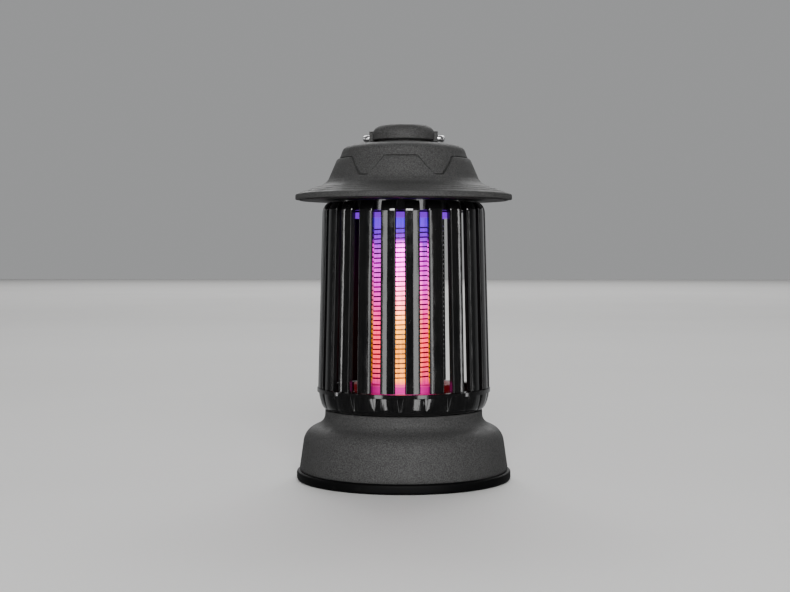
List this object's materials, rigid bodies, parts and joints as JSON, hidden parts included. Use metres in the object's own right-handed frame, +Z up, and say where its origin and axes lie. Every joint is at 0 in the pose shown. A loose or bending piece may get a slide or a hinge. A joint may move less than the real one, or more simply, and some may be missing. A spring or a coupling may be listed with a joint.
{
  "type": "electric bug zapper",
  "caption": "Free-standing lantern bug zapper: rechargeable base, glowing grid-wrapped lamp, lift-off barred cage with a tray, wide hat and a folding wire bail.",
  "frame": {"origin": "on the floor under the middle of the foot ring", "axes": "+Z up, front towards -Y, charging socket and button towards +Y, +X to the right seen from the front"},
  "size_m": [0.15, 0.15, 0.2444],
  "materials": {
    "housing": "matte dark grey ABS with a fine moulded grain",
    "cage_gloss": "high-gloss black ABS",
    "foot_rubber": "matte black rubber",
    "soft_rubber": "matte black silicone rubber",
    "inner_black": "matte black ABS",
    "grid_holder": "dark red translucent plastic, lit from inside by the lamp",
    "grid_wire": "drawn stainless wire",
    "diffuser": "milky diffuser that glows violet, pink and amber",
    "bail_chrome": "chromed spring wire",
    "screw_steel": "zinc plated steel",
    "cell_wrap": "shrink-wrapped cell",
    "circuit_board": "green solder mask",
    "ferrite": "ferrite core with taped winding",
    "capacitor_film": "dipped film capacitor",
    "indicator_clear": "clear light pipe"
  },
  "bodies": {
    "base": {"foot_ring": "foot_rubber", "base_shell": "housing", "bottom_cover": "inner_black", "bottom_screw_1": "screw_steel", "bottom_screw_2": "screw_steel", "bottom_screw_3": "screw_steel", "battery_holder": "inner_black", "battery_cell_1": "cell_wrap", "battery_cell_2": "cell_wrap", "main_board": "circuit_board", "hv_transformer": "ferrite", "hv_capacitor": "capacitor_film", "control_board": "circuit_board", "charging_socket": "screw_steel", "tact_switch": "inner_black", "indicator_lens": "indicator_clear", "lower_grid_holder": "grid_holder", "upper_grid_holder": "diffuser", "diffuser_tube": "diffuser", "uv_lamp_board": "circuit_board", "grid_winding_live": "grid_wire", "grid_winding_return": "grid_wire"},
    "cage": {"insect_tray": "cage_gloss", "cage_bar_01": "cage_gloss", "cage_bar_02": "cage_gloss", "cage_bar_03": "cage_gloss", "cage_bar_04": "cage_gloss", "cage_bar_05": "cage_gloss", "cage_bar_06": "cage_gloss", "cage_bar_07": "cage_gloss", "cage_bar_08": "cage_gloss", "cage_bar_09": "cage_gloss", "cage_bar_10": "cage_gloss", "cage_bar_11": "cage_gloss", "cage_bar_12": "cage_gloss", "cage_bar_13": "cage_gloss", "cage_bar_14": "cage_gloss", "cage_bar_15": "cage_gloss", "cage_bar_16": "cage_gloss", "cage_bar_17": "cage_gloss", "cage_bar_18": "cage_gloss", "cage_bar_19": "cage_gloss", "cage_bar_20": "cage_gloss", "cage_bar_21": "cage_gloss", "cage_bar_22": "cage_gloss", "cage_top_ring": "cage_gloss", "hat_liner": "inner_black", "hat": "housing", "hat_screw_1": "screw_steel", "hat_screw_2": "screw_steel", "hat_screw_3": "screw_steel", "top_cap": "housing", "cap_screw": "screw_steel"},
    "bail": {"bail_handle": "bail_chrome"},
    "button": {"power_button": "soft_rubber"},
    "flap": {"charging_flap": "soft_rubber"}
  },
  "joints": [
    {"name": "cage_lift", "type": "slide", "parent": "base", "child": "cage", "axis": [0, 0, 1], "range_m": [0, 0.15]},
    {"name": "bail_fold", "type": "hinge", "parent": "cage", "child": "bail", "pos_m": [0, 0, 0.2353], "axis": [1, 0, 0], "range_deg": [0, 180]},
    {"name": "button_press", "type": "slide", "parent": "base", "child": "button", "axis": [-0.4695, -0.8829, 0], "range_m": [0, 0.0012], "stiffness_N_per_m": 900, "springref_m": -0.0004},
    {"name": "flap_open", "type": "hinge", "parent": "base", "child": "flap", "pos_m": [0, 0.0695, 0.0164], "axis": [-1, 0, 0], "range_deg": [0, 90]}
  ]
}
